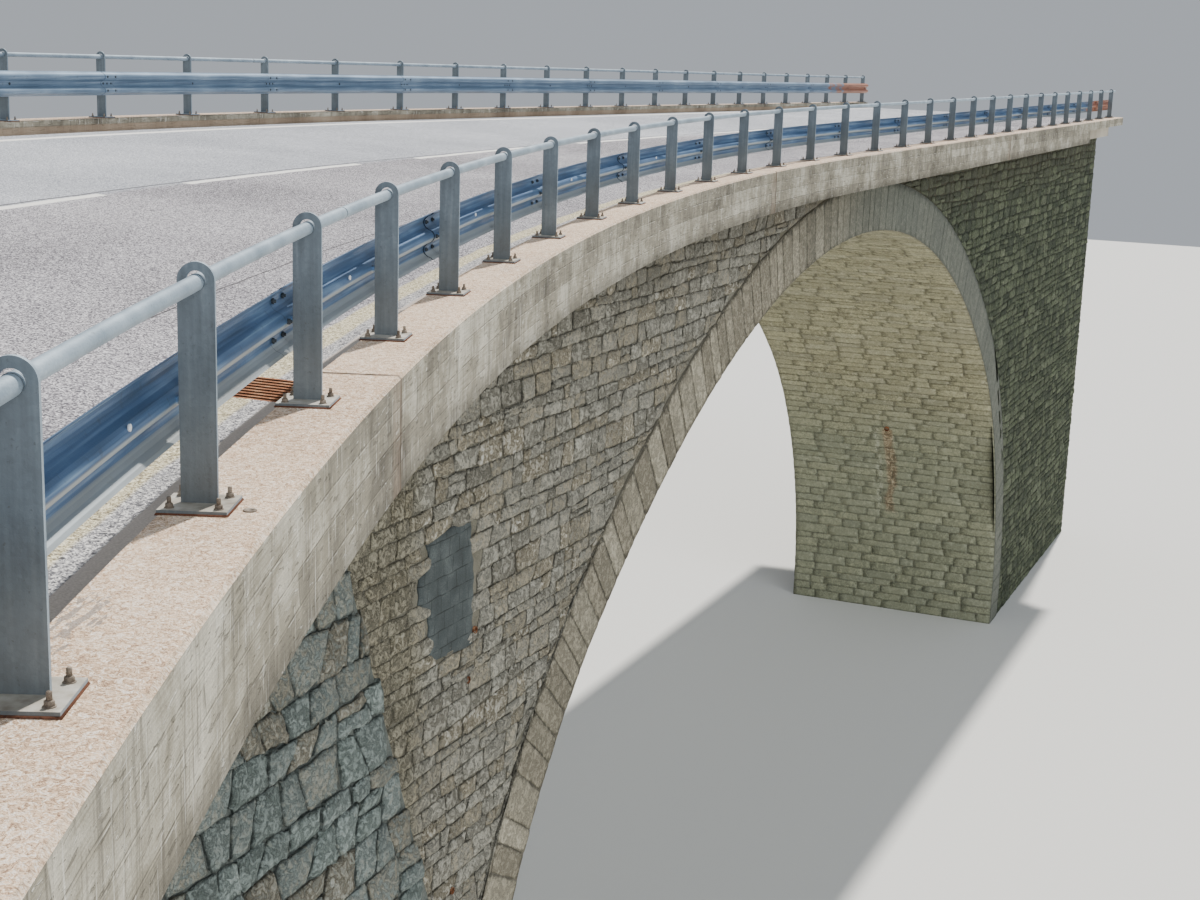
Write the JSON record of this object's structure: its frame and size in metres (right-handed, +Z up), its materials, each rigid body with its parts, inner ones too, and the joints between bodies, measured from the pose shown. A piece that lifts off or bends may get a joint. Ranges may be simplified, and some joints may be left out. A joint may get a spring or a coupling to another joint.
{
  "type": "stone arch road bridge, scale model 1:2",
  "caption": "Half-size model of an old stone arch road bridge with a wider curved and banked concrete deck, flat-bar railings and folded guard rails.",
  "frame": {"origin": "middle of the footprint, on the floor under the feet", "axes": "+X along the straight stretch of the road towards its east end, +Y across the road to the far railing, +Z up"},
  "size_m": [32.4096, 8.067, 7.8141],
  "materials": {
    "soffit_stone": "coursed, rough",
    "ring_stone": "dressed, matt",
    "wall_stone": "squared rubble, rough",
    "weathered_stone": "mossy, rough",
    "rough_stone": "uncoursed, rough",
    "rubble": "loose",
    "concrete": "cast, matt",
    "coping_concrete": "board-marked, worn",
    "asphalt": "coarse, worn",
    "galvanised_steel": "galvanised, dull",
    "guard_rail_steel": "galvanised, weathered",
    "rusty_iron": "rusty"
  },
  "bodies": {
    "root": {"arch_barrel": "soffit_stone", "near_ring": "ring_stone", "far_ring": "ring_stone", "near_spandrel_west": "wall_stone", "near_spandrel_east": "weathered_stone", "far_spandrel_west": "wall_stone", "far_spandrel_east": "wall_stone", "rubble_fill": "rubble", "west_abutment": "wall_stone", "east_abutment": "weathered_stone", "west_end_wall": "wall_stone", "west_buttress": "rough_stone", "deck_slab_1": "concrete", "deck_slab_2": "concrete", "deck_slab_3": "concrete", "deck_slab_4": "concrete", "near_edge_beam_1": "coping_concrete", "near_edge_beam_2": "coping_concrete", "near_edge_beam_3": "coping_concrete", "near_edge_beam_4": "coping_concrete", "far_edge_beam_1": "coping_concrete", "far_edge_beam_2": "coping_concrete", "far_edge_beam_3": "coping_concrete", "far_edge_beam_4": "coping_concrete", "carriageway_west": "asphalt", "carriageway_east": "asphalt", "drain_grate": "rusty_iron", "weep_pipes": "rusty_iron", "near_railing_1": "galvanised_steel", "near_railing_2": "galvanised_steel", "near_railing_3": "galvanised_steel", "near_railing_4": "galvanised_steel", "far_railing_1": "galvanised_steel", "far_railing_2": "galvanised_steel", "far_railing_3": "galvanised_steel", "far_railing_4": "galvanised_steel", "near_guard_rail_1": "guard_rail_steel", "near_guard_rail_2": "guard_rail_steel", "near_guard_rail_3": "guard_rail_steel", "near_guard_rail_4": "guard_rail_steel", "far_guard_rail_1": "guard_rail_steel", "far_guard_rail_2": "guard_rail_steel", "far_guard_rail_3": "guard_rail_steel", "far_guard_rail_4": "guard_rail_steel"}
  },
  "joints": []
}
